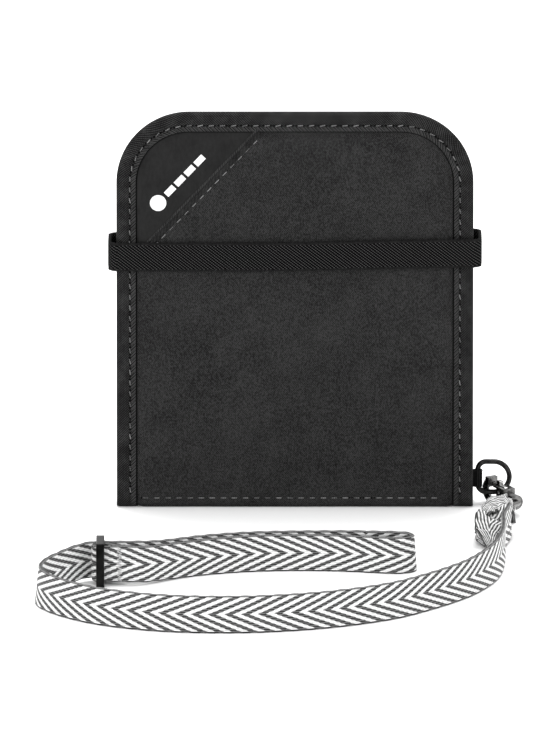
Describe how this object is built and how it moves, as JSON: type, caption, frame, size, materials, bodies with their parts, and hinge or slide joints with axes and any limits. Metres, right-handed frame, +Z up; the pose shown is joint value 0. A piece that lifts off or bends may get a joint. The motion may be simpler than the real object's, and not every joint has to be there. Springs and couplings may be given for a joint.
{
  "type": "bifold travel wallet with wrist strap",
  "caption": "Black bifold travel organiser wallet with bound covers, elastic closing band, D-ring, swivel clip and herringbone wrist strap with slider.",
  "frame": {"origin": "middle of the underside of the spine, on which the closed wallet stands", "axes": "+X along the spine towards the D-ring, +Y from the front cover to the back cover, +Z up"},
  "size_m": [0.1652, 0.1683, 0.14],
  "materials": {
    "shell_fabric": "fine plain-weave nylon, black, slight satin",
    "binding": "black twill tape, fine diagonal weave",
    "patch_fabric": "smooth black fabric",
    "print_white": "white printed marks",
    "lining": "grey ripstop lining",
    "pocket_fabric": "dark grey pocket fabric",
    "board": "stiffener board",
    "foil": "thin metallised shielding film",
    "elastic": "black ribbed elastic",
    "tab_ribbon": "black ribbon",
    "zip_tape": "black zip tape",
    "zip_coil": "black nylon coil",
    "zip_metal": "gunmetal zip slider",
    "ring_metal": "black nickel wire",
    "clip_metal": "gunmetal clip",
    "pin_steel": "steel pin and spring",
    "webbing": "white and charcoal herringbone webbing",
    "thread": "light grey thread",
    "slider_metal": "black coated metal"
  },
  "bodies": {
    "spine": {"spine_shell": "shell_fabric", "spine_lining": "lining", "spine_binding": "binding", "ring_tab": "tab_ribbon"},
    "front_cover": {"front_shell": "shell_fabric", "front_board": "board", "front_foil": "foil", "front_lining": "lining", "front_binding": "binding", "corner_patch": "patch_fabric", "patch_band": "patch_fabric", "printed_mark": "print_white", "zip_pocket": "pocket_fabric", "zip_tape_upper": "zip_tape", "zip_tape_lower": "zip_tape", "zip_teeth_upper": "zip_coil", "zip_teeth_lower": "zip_coil", "zip_stops": "zip_metal"},
    "back_cover": {"back_shell": "shell_fabric", "back_board": "board", "back_foil": "foil", "back_lining": "lining", "back_binding": "binding", "passport_pocket": "pocket_fabric", "card_pocket_rear": "pocket_fabric", "card_pocket_middle": "pocket_fabric", "card_pocket_front": "pocket_fabric"},
    "elastic": {"elastic_band": "elastic"},
    "zip_slider": {"zip_slider": "zip_metal"},
    "zip_pull": {"zip_pull": "zip_metal"},
    "ring": {"d_ring": "ring_metal"},
    "strap": {"swivel_eye": "clip_metal", "hitch_knot": "webbing", "strap_webbing": "webbing", "loop_front": "webbing"},
    "strap_slider": {"strap_slider": "slider_metal", "loop_fold": "webbing", "bar_tack": "thread"},
    "clip": {"clip_hook": "clip_metal", "gate_pin": "pin_steel", "gate_spring": "pin_steel"},
    "clip_gate": {"clip_gate": "clip_metal"}
  },
  "joints": [
    {"name": "front_fold", "type": "hinge", "parent": "spine", "child": "front_cover", "pos_m": [0, -0.0062, 0.00215], "axis": [1, 0, 0], "range_deg": [0, 80], "deforming": ["elastic_band"]},
    {"name": "back_fold", "type": "hinge", "parent": "spine", "child": "back_cover", "pos_m": [0, 0.0062, 0.00215], "axis": [-1, 0, 0], "range_deg": [0, 90]},
    {"name": "elastic_lift", "type": "slide", "parent": "back_cover", "child": "elastic", "axis": [0, 0, 1], "range_m": [0, 0.045]},
    {"name": "zip_travel", "type": "slide", "parent": "front_cover", "child": "zip_slider", "axis": [1, 0, 0], "range_m": [0, 0.074]},
    {"name": "zip_pull_swing", "type": "hinge", "parent": "zip_slider", "child": "zip_pull", "pos_m": [-0.037, 0, 0.103], "axis": [0, 1, 0], "range_deg": [-75, 75]},
    {"name": "ring_swing", "type": "hinge", "parent": "spine", "child": "ring", "pos_m": [0.0627, 0, 0.0094], "axis": [0, 0, 1], "range_deg": [-10, 10]},
    {"name": "strap_swing", "type": "hinge", "parent": "ring", "child": "strap", "pos_m": [0.0669, 0, 0.0047], "axis": [0, 0, 1], "range_deg": [-6, 6]},
    {"name": "clip_swivel", "type": "hinge", "parent": "strap", "child": "clip", "pos_m": [0.07577, -0.01601, 0.0047], "axis": [-0.4848, 0.8746, 0], "range_deg": [-6, 6]},
    {"name": "gate_open", "type": "hinge", "parent": "clip", "child": "clip_gate", "pos_m": [0.0717, -0.00866, 0.0066], "axis": [-0.8746, -0.4848, 0], "range_deg": [0, 18], "stiffness_Nm_per_rad": 0.002, "springref_deg": -17.19},
    {"name": "strap_adjust", "type": "slide", "parent": "strap", "child": "strap_slider", "axis": [1, 0, 0], "range_m": [-0.0015, 0.007], "deforming": ["loop_front"]}
  ],
  "couplings": [
    {"joint": "back_fold", "follows": "front_fold", "ratio": 1.125}
  ]
}
